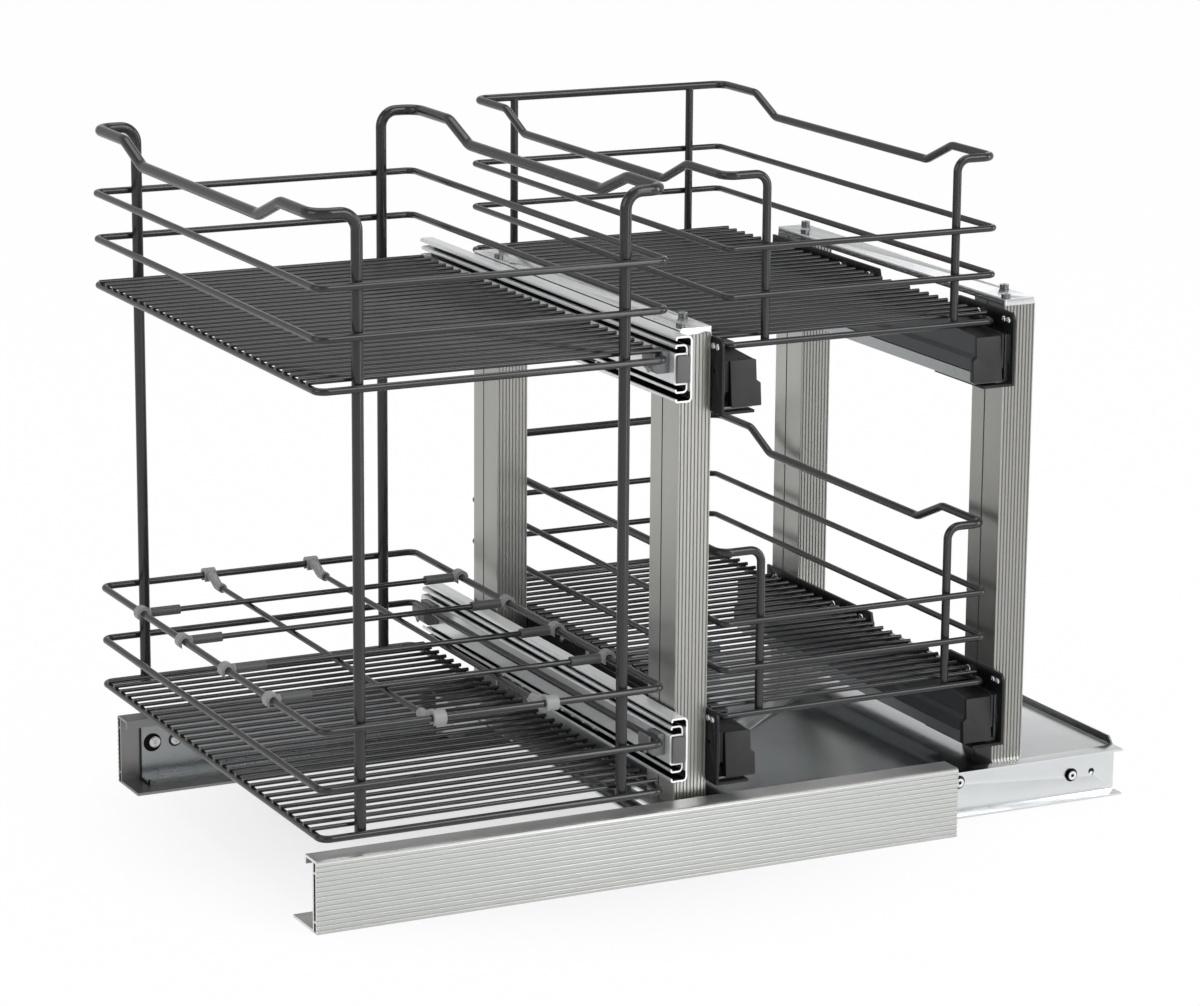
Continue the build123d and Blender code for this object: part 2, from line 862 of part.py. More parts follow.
save(hook_blocks(front_upper_floor_z), "hook_blocks_upper")
save(hook_blocks(front_lower_hoops[0]), "hook_blocks_lower")


# Wire work


def ring(left, right, near, far, z, radius, bend):
    middle = (left + right) / 2
    with BuildLine() as path:
        Line((middle, near, z), (right - bend, near, z))
        CenterArc((right - bend, near + bend, z), bend, -90, 90)
        Line((right, near + bend, z), (right, far - bend, z))
        CenterArc((right - bend, far - bend, z), bend, 0, 90)
        Line((right - bend, far, z), (left + bend, far, z))
        CenterArc((left + bend, far - bend, z), bend, 90, 90)
        Line((left, far - bend, z), (left, near + bend, z))
        CenterArc((left + bend, near + bend, z), bend, 180, 90)
        Line((left + bend, near, z), (middle, near, z))
    with BuildSketch(Plane((middle, near, z), z_dir=(1, 0, 0))) as section:
        Circle(radius)
    sweep(section.sketch, path=path.wire())


def bent_wire(points, radius, bend, mode=Mode.ADD):
    start = Vector(*points[0])
    with BuildLine() as path:
        FilletPolyline(*points, radius=bend)
    with BuildSketch(Plane(start, z_dir=Vector(*points[1]) - start)) as section:
        Circle(radius)
    sweep(section.sketch, path=path.wire(), mode=mode)


def basket_hoops(left, right, near, far, levels, radius, bend):
    with BuildPart() as hoops:
        for z in levels:
            ring(left, right, near, far, z, radius, bend)
    return hoops.part


def basket_floor(left, right, near, far, floor, side_radius):
    count = floor_wire_count
    step = (far - near) / (count + 1)
    top = floor + side_radius + floor_wire_radius
    overhang = side_radius - floor_wire_inset
    with BuildPart() as grille:
        with BuildSketch(Plane.YZ.offset(left - overhang)):
            with Locations(*[(near + step * (n + 1), top) for n in range(count)]):
                Circle(floor_wire_radius)
        extrude(amount=right - left + 2 * overhang)
    return grille.part


def loop_points(side_x, stem_x, near, far, foot, high, low, ends):
    high_far, low_far, low_near, high_near = ends
    return [
        (stem_x, near, foot),
        (stem_x, near, high),
        (side_x, near, high),
        (side_x, high_near, high),
        (side_x, low_near, low),
        (side_x, low_far, low),
        (side_x, high_far, high),
        (side_x, far, high),
        (stem_x, far, high),
        (stem_x, far, foot),
    ]


def loop_bends(corner, slope):
    return [corner, corner, *[slope] * 4, corner, corner]


front_stem_near = front_near + front_thin_radius + front_thick_radius
front_stem_far = front_far - front_thin_radius - front_thick_radius
front_ends = (front_high_far_end, front_low_far_end, front_low_near_end, front_high_near_end)
front_foot = front_lower_floor_z - front_foot_drop


def front_loop(side_x, stem_x):
    points = loop_points(
        side_x,
        stem_x,
        front_stem_near,
        front_stem_far,
        front_foot,
        front_rail_high,
        front_rail_low,
        front_ends,
    )
    with BuildPart() as loop:
        bent_wire(points, front_thick_radius, loop_bends(front_loop_bend, front_slope_bend))
    return loop.part


save(front_loop(front_left, front_stem_x[0]), "front_loop_left")
save(front_loop(front_right, front_stem_x[1]), "front_loop_right")

front_outline = (front_left, front_right, front_near, front_far)
upper_levels = (front_upper_floor_z, *front_upper_hoops)
lower_levels = (front_lower_floor_z, *front_lower_hoops)
save(basket_hoops(*front_outline, upper_levels, front_thin_radius, front_hoop_bend), "front_upper_hoops")
save(basket_hoops(*front_outline, lower_levels, front_thin_radius, front_hoop_bend), "front_lower_hoops")
save(basket_floor(*front_outline, front_upper_floor_z, front_thin_radius), "front_upper_floor")
save(basket_floor(*front_outline, front_lower_floor_z, front_thin_radius), "front_lower_floor")

rear_stem_near = rear_near + rear_thin_radius + rear_thick_radius
rear_stem_far = rear_far - rear_thin_radius - rear_thick_radius
rear_ends = (rear_high_far_end, rear_low_far_end, rear_low_near_end, rear_high_near_end)


def rear_loops(floor):
    # One wire runs up the left front stem, along the left side, across the back and down again
    foot = floor - rear_foot_drop
    high = floor + rear_rail_high
    left, right = [
        loop_points(
            side_x,
            stem_x,
            rear_stem_near,
            rear_stem_far,
            foot,
            high,
            floor + rear_rail_low,
            rear_ends,
        )[:8]
        for side_x, stem_x in zip((rear_left, rear_right), rear_stem_x)
    ]
    bends = loop_bends(rear_loop_bend, rear_slope_bend)[:7]
    with BuildPart() as loops:
        bent_wire(left + right[::-1], rear_thick_radius, bends + bends[::-1])
        # The back stems stand under the run across the back
        for stem_x in rear_stem_x:
            rod((stem_x, rear_stem_far, foot), (0, 0, 1), rear_thick_radius, high - foot)
    return loops.part


rear_outline = (rear_left, rear_right, rear_near, rear_far)
for level, floor in (("upper", rear_upper_floor_z), ("lower", rear_lower_floor_z)):
    rises = (0, *rear_hoop_rise)
    save(rear_loops(floor), f"rear_{level}_loops")
    save(
        basket_hoops(*rear_outline, [floor + rise for rise in rises], rear_thin_radius, rear_hoop_bend),
        f"rear_{level}_hoops",
    )
    save(basket_floor(*rear_outline, floor, rear_thin_radius), f"rear_{level}_floor")


# Runners under the rear baskets, a left and a right one for each basket


def runner_pair(floor, near, points):
    # The points give distance from the bracket's plate and depth under the basket's floor wire
    faces = ((left_bracket_x + bracket_sheet, 1), (right_bracket_x - bracket_sheet, -1))
    for face_x, inner in faces:
        with BuildSketch(slide_plane(runner_far)) as profile:
            with BuildLine():
                Polyline(*[(face_x + inner * p, floor - q) for p, q in points], close=True)
            make_face()
        extrude(profile.sketch, amount=runner_far - near)


def runner_base(floor):
    bottom = runner_base_bottom
    sheet = runner_sheet
    with BuildPart() as pair:
        runner_pair(
            floor,
            runner_near,
            [
                (0, runner_base_wall_top),
                (0, bottom),
                (runner_base_width, bottom),
                (runner_base_width, bottom - runner_base_lip),
                (runner_base_width - sheet, bottom - runner_base_lip),
                (runner_base_width - sheet, bottom - sheet),
                (sheet, bottom - sheet),
                (sheet, runner_base_wall_top),
            ],
        )
    return pair.part


def runner_middle(floor):
    near_side = middle_runner_offset
    far_side = middle_runner_offset + middle_runner_width
    sheet = runner_sheet
    with BuildPart() as pair:
        runner_pair(
            floor,
            middle_runner_near,
            [
                (near_side, middle_runner_bottom),
                (far_side, middle_runner_bottom),
                (far_side, middle_runner_top),
                (near_side, middle_runner_top),
                (near_side, middle_runner_top + sheet),
                (far_side - sheet, middle_runner_top + sheet),
                (far_side - sheet, middle_runner_bottom - sheet),
                (near_side, middle_runner_bottom - sheet),
            ],
        )
    return pair.part


def above_front_slope(floor):
    # The room above the line on which the fronts of the moving runners and their blocks slope down
    with BuildSketch(Plane.YZ.offset(left_bracket_x)) as room:
        with BuildLine():
            Polyline(
                (block_near, floor),
                (block_near, floor - block_top),
                (moving_near, floor - block_top),
                (plug_far, floor - block_back_top),
                (plug_far, floor),
                close=True,
            )
        make_face()
    extrude(room.sketch, amount=right_bracket_x - left_bracket_x, mode=Mode.SUBTRACT)


def runner_moving(floor):
    top = rear_thin_radius
    sheet = runner_sheet
    with BuildPart() as pair:
        runner_pair(
            floor,
            moving_near,
            [
                (moving_outer, moving_bottom),
                (moving_outer, top),
                (moving_upper_inner, top),
                (moving_upper_inner, moving_step),
                (moving_lower_inner, moving_step + moving_step_slope),
                (moving_lower_inner, moving_bottom),
                (moving_lower_inner - sheet, moving_bottom),
                (moving_lower_inner - sheet, moving_step + moving_step_slope + sheet),
                (moving_upper_inner - sheet, moving_step + sheet),
                (moving_upper_inner - sheet, top + sheet),
                (moving_outer + sheet, top + sheet),
                (moving_outer + sheet, moving_bottom),
            ],
        )
        above_front_slope(floor)
    return pair.part


# Front blocks, each a leaning plate with a plug inside the moving runner
def runner_blocks(floor):
    points = [
        (block_outer, block_bottom),
        (block_outer, block_top),
        (block_upper_inner, block_top),
        (block_upper_inner, block_step),
        (block_lower_inner, block_step + block_step_slope),
        (block_lower_inner, block_bottom),
    ]
    plug_outer = moving_outer + runner_sheet + block_plug_side_gap
    plug_inner = moving_upper_inner - runner_sheet - block_plug_side_gap
    plug_middle = (plug_outer + plug_inner) / 2
    faces = ((left_bracket_x + bracket_sheet, 1), (right_bracket_x - bracket_sheet, -1))
    with BuildPart() as pair:
        for face_x, inner in faces:
            with BuildSketch(slide_plane(moving_near)):
                with BuildLine():
                    FilletPolyline(
                        *[(face_x + inner * p, floor - q) for p, q in points],
                        radius=block_corner,
                        close=True,
                    )
                make_face()
            extrude(amount=moving_near - block_near)
            with BuildSketch(slide_plane(plug_far)):
                with Locations((face_x + inner * plug_middle, floor - block_plug_bottom / 2)):
                    Rectangle(plug_inner - plug_outer, block_plug_bottom)
            extrude(amount=block_plug_length)
        above_front_slope(floor)
        # The plates lean forward towards the bottom
        with BuildSketch(Plane.YZ.offset(left_bracket_x)):
            with BuildLine():
                Polyline(
                    (block_near, floor - block_top),
                    (block_near + block_lean, floor - block_top),
                    (block_near, floor - block_bottom),
                    close=True,
                )
            make_face()
        extrude(amount=right_bracket_x - left_bracket_x, mode=Mode.SUBTRACT)
    return pair.part


for level, floor in (("upper", rear_upper_floor_z), ("lower", rear_lower_floor_z)):
    save(runner_base(floor), f"runner_base_{level}")
    save(runner_middle(floor), f"runner_middle_{level}")
    save(runner_moving(floor), f"runner_moving_{level}")
    save(runner_blocks(floor), f"runner_blocks_{level}")


# Divider rods, resting on the lower front basket's top hoop
divider_z = front_lower_hoops[1]
long_z = divider_z - divider_long_drop

with BuildPart() as divider_cross_rods:
    with BuildSketch(Plane.YZ.offset(front_left + clip_radius)):
        with Locations(*[(y, divider_z) for y in divider_cross_y]):
            Circle(divider_rod_radius)
    extrude(amount=front_right - front_left - 2 * clip_radius)
save(divider_cross_rods.part, "divider_cross_rods")


def long_rod_end(x, end_y, inner):
    return [
        (x, end_y, divider_z),
        (x, end_y + inner * divider_end_flat, divider_z),
        (x, end_y + inner * divider_slope_end, long_z),
    ]


with BuildPart() as divider_long_rods:
    near = front_near + divider_end_inset
    far = front_far - divider_end_inset
    for x in divider_long_x:
        points = [
            *long_rod_end(x, near, 1),
            *long_rod_end(x, far, -1)[::-1],
        ]
        bent_wire(points, divider_rod_radius, divider_rod_bend)
save(divider_long_rods.part, "divider_long_rods")

with BuildPart() as divider_clips:
    slot = front_thin_radius + moving_gap
    sides = ((front_left, 1), (front_right, -1))
    for y in divider_cross_y:
        for side_x, inner in sides:
            sleeve_start = side_x + inner * (clip_radius - sleeve_overlap)
            with BuildSketch(slide_plane(y + clip_length / 2)):
                with Locations((side_x, divider_z)):
                    Circle(clip_radius)
                    Circle(slot, mode=Mode.SUBTRACT)
                with Locations((side_x, divider_z - clip_radius / 2)):
                    Rectangle(2 * slot, clip_radius, mode=Mode.SUBTRACT)
            extrude(amount=clip_length)
            with BuildSketch(Plane((sleeve_start, y, divider_z), z_dir=(inner, 0, 0))):
                Circle(sleeve_radius)
            extrude(amount=sleeve_length)
            with BuildSketch(Plane((side_x + inner * clip_radius, y, divider_z), z_dir=(inner, 0, 0))):
                Circle(divider_rod_radius)
            extrude(amount=sleeve_length + 2, mode=Mode.SUBTRACT)
    for x in divider_long_x:
        for end_y, inner in ((front_near, 1), (front_far, -1)):
            with BuildSketch(Plane.YZ.offset(x - saddle_length / 2)):
                with Locations((end_y, divider_z)):
                    Circle(clip_radius)
                    Circle(slot, mode=Mode.SUBTRACT)
                with Locations((end_y, divider_z - clip_radius / 2)):
                    Rectangle(2 * slot, clip_radius, mode=Mode.SUBTRACT)
            extrude(amount=saddle_length)
            # A sleeve follows the rod down from the saddle, with a bore for the rod
            start = end_y + inner * divider_end_inset
            bore = [*long_rod_end(x, start, inner), (x, start + inner * 2 * long_sleeve_end, long_z)]
            cover = [*bore[:3], (x, start + inner * long_sleeve_end, long_z)]
            bent_wire(cover, sleeve_radius, divider_rod_bend)
            bent_wire(bore, divider_rod_radius, divider_rod_bend, Mode.SUBTRACT)
            with BuildSketch(Plane((x, end_y + inner * divider_end_inset, divider_z), z_dir=(0, inner, 0))):
                Circle(divider_rod_radius)
            extrude(amount=saddle_bore_depth, mode=Mode.SUBTRACT)
save(divider_clips.part, "divider_clips")
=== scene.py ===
import json
import math

import bpy
from mathutils import Matrix, Vector


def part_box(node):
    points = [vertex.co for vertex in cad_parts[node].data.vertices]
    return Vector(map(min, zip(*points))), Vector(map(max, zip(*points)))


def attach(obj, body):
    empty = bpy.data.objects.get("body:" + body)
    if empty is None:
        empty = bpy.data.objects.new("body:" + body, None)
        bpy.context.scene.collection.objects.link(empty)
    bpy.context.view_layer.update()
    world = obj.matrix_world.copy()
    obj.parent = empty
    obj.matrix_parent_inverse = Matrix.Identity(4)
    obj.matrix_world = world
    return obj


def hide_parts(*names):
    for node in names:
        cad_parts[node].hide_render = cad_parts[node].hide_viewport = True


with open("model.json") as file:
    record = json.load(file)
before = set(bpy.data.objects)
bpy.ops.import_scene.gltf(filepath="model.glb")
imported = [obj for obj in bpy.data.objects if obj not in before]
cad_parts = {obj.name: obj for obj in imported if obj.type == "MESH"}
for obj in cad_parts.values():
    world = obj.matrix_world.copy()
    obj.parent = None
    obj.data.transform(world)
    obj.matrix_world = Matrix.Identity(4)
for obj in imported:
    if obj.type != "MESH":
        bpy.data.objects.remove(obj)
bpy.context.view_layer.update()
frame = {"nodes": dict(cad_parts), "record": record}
nodes = frame["nodes"]
print("frame loaded", len(nodes), "nodes")


# Shader expressions: a socket that can be added, multiplied and so on

class Sock:
    def __init__(self, shader, out):
        self.shader = shader
        self.out = out

    def math(self, operation, *others):
        return self.shader.node("ShaderNodeMath", {"operation": operation}, [self, *others])

    def __add__(self, other):
        return self.math("ADD", other)

    def __radd__(self, other):
        return self.math("ADD", other)

    def __mul__(self, other):
        return self.math("MULTIPLY", other)

    def __rmul__(self, other):
        return self.math("MULTIPLY", other)

    def __sub__(self, other):
        return self.math("SUBTRACT", other)

    def __rsub__(self, other):
        return self.shader.node("ShaderNodeMath", {"operation": "SUBTRACT"}, [other, self])

    def clamp(self):
        return self.shader.node("ShaderNodeClamp", {}, {"Value": self})

    def rise(self, low, high):
        # 0 below the first value, 1 above the second
        return self.shader.node(
            "ShaderNodeMapRange", {"interpolation_type": "SMOOTHSTEP"},
            {"Value": self, "From Min": low, "From Max": high})


class Shader:
    def __init__(self, name):
        self.material = bpy.data.materials.new(name)
        self.material.use_nodes = True
        self.tree = self.material.node_tree
        self.surface = self.tree.nodes["Principled BSDF"]
        self.place = self.node("ShaderNodeTexCoord", {}, {}, "Object")

    def node(self, kind, settings, inputs, out=0):
        made = self.tree.nodes.new(kind)
        for key, value in settings.items():
            setattr(made, key, value)
        pairs = inputs.items() if isinstance(inputs, dict) else enumerate(inputs)
        for key, value in pairs:
            if isinstance(value, Sock):
                self.tree.links.new(value.out, made.inputs[key])
            else:
                made.inputs[key].default_value = value
        return Sock(self, made.outputs[out])

    def feed(self, **values):
        for key, value in values.items():
            socket = self.surface.inputs[key.replace("_", " ")]
            if isinstance(value, Sock):
                self.tree.links.new(value.out, socket)
            else:
                socket.default_value = value

    def noise(self, scale, stretch=(1, 1, 1), detail=3.0):
        where = self.node("ShaderNodeMapping", {}, {"Vector": self.place, "Scale": stretch})
        return self.node("ShaderNodeTexNoise", {}, {"Vector": where, "Scale": scale, "Detail": detail})

    def blend(self, fac, first, second):
        return self.node(
            "ShaderNodeMix", {"data_type": "RGBA"},
            {"Factor": fac, 6: (*first, 1) if isinstance(first, tuple) else first,
             7: (*second, 1) if isinstance(second, tuple) else second}, 2)

    def axis(self, letter):
        return self.node("ShaderNodeSeparateXYZ", {}, [self.place], letter)

    def around(self, x, z):
        # distance from a line that runs front to back
        aside = self.axis("X") - x
        above = self.axis("Z") - z
        return (aside * aside + above * above).math("SQRT")

    def bump(self, height, strength, distance):
        return self.node(
            "ShaderNodeBump", {}, {"Height": height, "Strength": strength, "Distance": distance})


forward, upward, leftward = (0, -1, 0), (0, 0, 1), (-1, 0, 0)
nearlyFacing = 0.9


def facing(m, way):
    # 1 on faces that point the given way, 0 elsewhere
    normal = m.node("ShaderNodeNewGeometry", {}, {}, "Normal")
    ahead = m.node("ShaderNodeVectorMath", {"operation": "DOT_PRODUCT"}, {0: normal, 1: way}, "Value")
    return ahead.math("GREATER_THAN", nearlyFacing)


def wireCoat():
    # anthracite powder coat over bent wire, smooth and satin
    s = {
        "pale": (0.024, 0.0245, 0.026), "deep": (0.018, 0.0185, 0.0195), "roughness": 0.17,
        "patchSize": 35, "grainSize": 900, "glossSpread": 0.04, "bump": (0.03, 0.0001), "specular": 0.5,
    }
    m = Shader("anthraciteCoat")
    patches = m.noise(s["patchSize"], detail=4)
    grain = m.noise(s["grainSize"], detail=2)
    m.feed(
        Base_Color=m.blend(patches, s["deep"], s["pale"]),
        Roughness=s["roughness"] + s["glossSpread"] * (grain - 0.5) + s["glossSpread"] * (patches - 0.5),
        Normal=m.bump(grain, *s["bump"]),
        Specular_IOR_Level=s["specular"],
    )
    return m.material


def drawnMetal(name, pale, deep, along, roughness, metallic=1.0, shade=None, cutEnd=None):
    # rolled or extruded metal, with faint lines along its length
    s = {
        "lineSize": 420, "stretch": 0.02, "cloudSize": 18, "lineShare": 0.7, "cloudShare": 0.3,
        "lineGloss": 0.14, "cloudGloss": 0.04, "sawnGloss": 0.3, "bump": (0.12, 0.0002),
    }
    m = Shader(name)
    stretch = [1.0, 1.0, 1.0]
    stretch["XYZ".index(along)] = s["stretch"]
    lines = m.noise(s["lineSize"], tuple(stretch), detail=3)
    clouds = m.noise(s["cloudSize"], detail=3)
    tone = m.blend((s["lineShare"] * lines + s["cloudShare"] * clouds).clamp(), deep, pale)
    gloss = roughness + s["lineGloss"] * (lines - 0.5) + s["cloudGloss"] * (clouds - 0.5)
    if shade:
        tone = shade(m, tone)
    if cutEnd:
        sawn = facing(m, forward)
        tone = m.blend(sawn, tone, cutEnd)
        gloss = gloss + s["sawnGloss"] * sawn
    m.feed(Base_Color=tone, Roughness=gloss, Metallic=metallic, Normal=m.bump(lines, *s["bump"]))
    return m.material


def galvanised(name, pale, deep, roughness, flake=90, shade=None):
    # zinc with small crystals and soft clouds
    s = {
        "cloudSize": 14, "cloudStretch": (0.35, 1.0, 1.0), "flakeShare": 0.35, "cloudShare": 0.65,
        "flakeGloss": 0.05, "cloudGloss": 0.03, "bump": (0.02, 0.0003),
    }
    m = Shader(name)
    flakes = m.node(
        "ShaderNodeTexVoronoi", {"feature": "F1"},
        {"Vector": m.place, "Scale": flake, "Randomness": 1.0}, "Color")
    tone = m.node("ShaderNodeSeparateColor", {}, [flakes])
    clouds = m.noise(s["cloudSize"], s["cloudStretch"], detail=4)
    colour = m.blend((s["flakeShare"] * tone + s["cloudShare"] * clouds).clamp(), deep, pale)
    m.feed(
        Base_Color=shade(m, colour) if shade else colour,
        Roughness=roughness + s["flakeGloss"] * (tone - 0.5) + s["cloudGloss"] * (clouds - 0.5),
        Metallic=1.0,
        Normal=m.bump(clouds, *s["bump"]),
    )
    return m.material


def moulded(name, pale, deep, roughness, shade=None):
    # plastic with a fine moulded grain
    s = {"grainSize": 1100, "cloudSize": 45, "glossSpread": 0.12, "bump": (0.10, 0.0002)}
    m = Shader(name)
    texture = m.noise(s["grainSize"], detail=2)
    clouds = m.noise(s["cloudSize"], detail=3)
    colour = m.blend(clouds, deep, pale)
    m.feed(
        Base_Color=shade(m, colour) if shade else colour,
        Roughness=roughness + s["glossSpread"] * (texture - 0.5),
        Normal=m.bump(texture, *s["bump"]),
    )
    return m.material


def blackCoat():
    # black paint on the bent sheet brackets
    s = {
        "pale": (0.008, 0.0085, 0.009), "deep": (0.004, 0.0045, 0.005), "roughness": 0.40,
        "patchSize": 22, "grainSize": 800, "glossSpread": 0.10, "bump": (0.1, 0.0002), "specular": 0.35,
    }
    m = Shader("blackCoat")
    grain = m.noise(s["grainSize"], detail=2)
    patches = m.noise(s["patchSize"], detail=4)
    m.feed(
        Base_Color=m.blend(patches, s["deep"], s["pale"]),
        Roughness=s["roughness"] + s["glossSpread"] * (grain - 0.5),
        Normal=m.bump(grain, *s["bump"]),
        Specular_IOR_Level=s["specular"],
    )
    return m.material


# Local tones, laid over a finish by place or by the way a face points; most of them are painted shade or
# painted light

# painted shade: a near-black tone for gaps, holes, sockets and edges where shade falls
paintedShadeTone = (0.03, 0.03, 0.03)


raceSet = {
    "web": (0.0014, 0.0026), "front": (0.0006, 0.0002), "band": 0.0008, "lip": (0.0007, 0.0002),
    "tone": (0.016, 0.018, 0.019),
}


def race(node, band, outside=True):
    # the ball races of a slide channel lie in shade behind its bright lips
    low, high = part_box(node)
    middle, half = (low[2] + high[2]) / 2, (high[2] - low[2]) / 2
    front = high[0] - low[0]

    def shade(m, tone):
        depth = m.axis("X") - low[0]
        height = (m.axis("Z") - middle).math("ABSOLUTE")
        inside = depth.rise(*raceSet["web"])
        inside = inside * (1 - depth.rise(front - raceSet["front"][0], front - raceSet["front"][1]))
        inside = inside * height.rise(half - band - raceSet["band"], half - band)
        if outside:
            inside = inside * (1 - height.rise(half - raceSet["lip"][0], half - raceSet["lip"][1]))
        return m.blend(inside, tone, raceSet["tone"])
    return shade


innerShadeSet = {"web": (0.0013, 0.0024), "tone": (0.02, 0.022, 0.023)}


def innerChannelShade(m, tone):
    # painted shade: the inner channel is toned dark behind its web
    depth = m.axis("X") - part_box("slide_inner_upper")[0][0]
    return m.blend(depth.rise(*innerShadeSet["web"]), tone, innerShadeSet["tone"])


# the colours for the groove floors and the top face are painted shade and painted light
frontRailSet = {
    "fluteStart": 0.0026, "flutePitch": 0.0034, "fluteHalf": (0.17, 0.20),
    "flute": (0.39, 0.395, 0.385), "cutEnd": (0.98, 0.98, 0.97), "top": (0.98, 0.985, 0.97),
}


def frontRail(m, tone):
    # painted shade in the groove floors, painted light on the top face, and a bright cut end
    s = frontRailSet
    across = ((m.axis("Z") - s["fluteStart"]) * (1 / s["flutePitch"]) + 0.5).math("FRACT")
    away = (across - 0.5).math("ABSOLUTE")
    floors = facing(m, forward) * (1 - away.rise(*s["fluteHalf"]))
    fluted = m.blend(floors, tone, s["flute"])
    cut = m.blend(facing(m, leftward), fluted, s["cutEnd"])
    return m.blend(facing(m, upward), cut, s["top"])


# share and colour of the painted shade on the posts' front faces
postFrontShadeSet = {"share": 0.6, "front": (0.29, 0.29, 0.275)}


def postFrontShade(m, tone):
    # painted shade: the front faces are toned a little deeper than the sides
    return m.blend(postFrontShadeSet["share"] * facing(m, forward), tone, postFrontShadeSet["front"])


# how far right of the track's left end, and how high, its access hole lies
accessHole = {"inset": 0.0116, "height": 0.0293, "edge": (0.0085, 0.0095)}
# colours of the painted shade on the far rail
farRailShadeSet = {"footTop": (0.004, 0.005), "foot": (0.13, 0.132, 0.128), "behind": (0.012, 0.012, 0.012)}


def farRailShade(m, tone):
    # painted shade on the top of the foot, and painted shade behind the access hole
    foot = facing(m, upward) * (1 - m.axis("Z").rise(*farRailShadeSet["footTop"]))
    toned = m.blend(foot, tone, farRailShadeSet["foot"])
    behind = m.around(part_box("track_far")[0][0] + accessHole["inset"], accessHole["height"])
    return m.blend(1 - behind.rise(*accessHole["edge"]), toned, farRailShadeSet["behind"])


traySet = {
    "screwPlaces": ((0.2625, 0.0325), (0.3585, 0.0255)), "gapInner": (0.0034, 0.0038),
    "gapOuter": (0.0048, 0.0053), "hole": (0.3758, 0.0261), "holeEdge": (0.0023, 0.0026),
    "fade": (0.24, 0.33), "plateShadeLeft": (0.46, 0.485, 0.495), "plateLightRight": (0.98, 0.99, 1.0),
    "flangeStart": (0.388, 0.390), "flange": (0.30, 0.31, 0.31),
}


def trayShade(m, tone):
    # painted shade: a dark gap round each screw in the front web and in the end hole; a painted reflection
    # on the plate, darker on its left and light on its right; painted shade on the end flange
    s = traySet
    gap = 0
    for place in s["screwPlaces"]:
        away = m.around(*place)
        gap = away.rise(*s["gapInner"]) * (1 - away.rise(*s["gapOuter"])) + gap
    gap = (1 - m.around(*s["hole"]).rise(*s["holeEdge"])) + gap
    front = m.blend(gap.clamp() * facing(m, forward), tone, paintedShadeTone)
    plateTone = m.blend(m.axis("X").rise(*s["fade"]), s["plateShadeLeft"], s["plateLightRight"])
    plate = m.blend(facing(m, upward), front, plateTone)
    return m.blend(facing(m, leftward) * m.axis("X").rise(*s["flangeStart"]), plate, s["flange"])


capShadeSet = {"sides": (0.16, 0.165, 0.17), "socket": (0.02, 0.02, 0.02), "socketDepth": (0.0012, 0.0009)}


def capHeadShade(m, tone):
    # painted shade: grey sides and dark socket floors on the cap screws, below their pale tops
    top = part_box("top_plate_screws")[1][2]
    up = facing(m, upward)
    sides = m.blend(up, capShadeSet["sides"], tone)
    deep, shallow = capShadeSet["socketDepth"]
    return m.blend(up * (1 - m.axis("Z").rise(top - deep, top - shallow)), sides, capShadeSet["socket"])


socketSet = {"socket": (0.0012, 0.0015), "rimInner": (0.0031, 0.0034), "rimOuter": (0.005, 0.006)}


def socketShade(m, tone):
    # painted shade in the socket and round the rim of each of the tray's screws
    dark = 0
    for place in traySet["screwPlaces"]:
        away = m.around(*place)
        rim = away.rise(*socketSet["rimInner"]) * (1 - away.rise(*socketSet["rimOuter"]))
        dark = (1 - away.rise(*socketSet["socket"])) + rim + dark
    return m.blend(dark.clamp(), tone, paintedShadeTone)


trackSet = {
    "screwInset": 0.0276, "gapInner": (0.0036, 0.0039), "gapOuter": (0.0050, 0.0055),
    "edge": (0.0009, 0.0013),
}


def trackShade(m, tone):
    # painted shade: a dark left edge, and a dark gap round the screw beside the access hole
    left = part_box("track_far")[0][0]
    away = m.around(left + trackSet["screwInset"], accessHole["height"])
    gap = away.rise(*trackSet["gapInner"]) * (1 - away.rise(*trackSet["gapOuter"]))
    edge = 1 - (m.axis("X") - left).rise(*trackSet["edge"])
    return m.blend((gap + edge).clamp(), tone, paintedShadeTone)


sleeveSet = {"start": (0.0080, 0.0088), "end": (0.034, 0.036), "tone": (0.075, 0.077, 0.079)}


def darkSleeves(m, tone):
    # the sleeves on the cross rods are as dark as the wire
    across = m.axis("X")
    left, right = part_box("front_lower_hoops")[0][0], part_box("front_lower_hoops")[1][0]
    start, end = sleeveSet["start"], sleeveSet["end"]
    covered = across.rise(left + start[0], left + start[1]) * (1 - across.rise(left + end[0], left + end[1]))
    covered = covered + across.rise(right - end[1], right - end[0]) * (
        1 - across.rise(right - start[1], right - start[0]))
    return m.blend(covered.clamp(), tone, sleeveSet["tone"])


# each finish: its name, pale and deep colour, the way its lines run, roughness
slideCut = (0.95, 0.95, 0.94)
screwFlake = 700
finishes = {
    "wire_coating": wireCoat(),
    "rail_aluminium": drawnMetal("railAluminium", (0.66, 0.67, 0.65), (0.57, 0.58, 0.565), "X", 0.36),
    "post_aluminium": drawnMetal(
        "postAluminium", (0.54, 0.54, 0.51), (0.47, 0.47, 0.45), "Z", 0.38, shade=postFrontShade),
    "zinc_steel": galvanised("zincSheet", (0.82, 0.85, 0.86), (0.76, 0.79, 0.81), 0.20),
    "slide_steel": drawnMetal(
        "slideSteel", (0.90, 0.92, 0.92), (0.74, 0.77, 0.78), "Y", 0.20, cutEnd=slideCut),
    "dark_steel": drawnMetal(
        "darkSteel", (0.095, 0.100, 0.108), (0.068, 0.072, 0.078), "Y", 0.42, metallic=0.6),
    "screw_steel": galvanised("screwSteel", (0.88, 0.88, 0.87), (0.74, 0.75, 0.75), 0.22, flake=screwFlake),
    "roller_plastic": moulded("rollerPlastic", (0.62, 0.62, 0.59), (0.52, 0.52, 0.50), 0.45),
    "black_steel": blackCoat(),
    "clip_plastic": moulded(
        "greyPlastic", (0.30, 0.305, 0.30), (0.25, 0.255, 0.25), 0.45, shade=darkSleeves),
    "dark_plastic": moulded("darkPlastic", (0.008, 0.008, 0.009), (0.005, 0.0055, 0.006), 0.46),
}
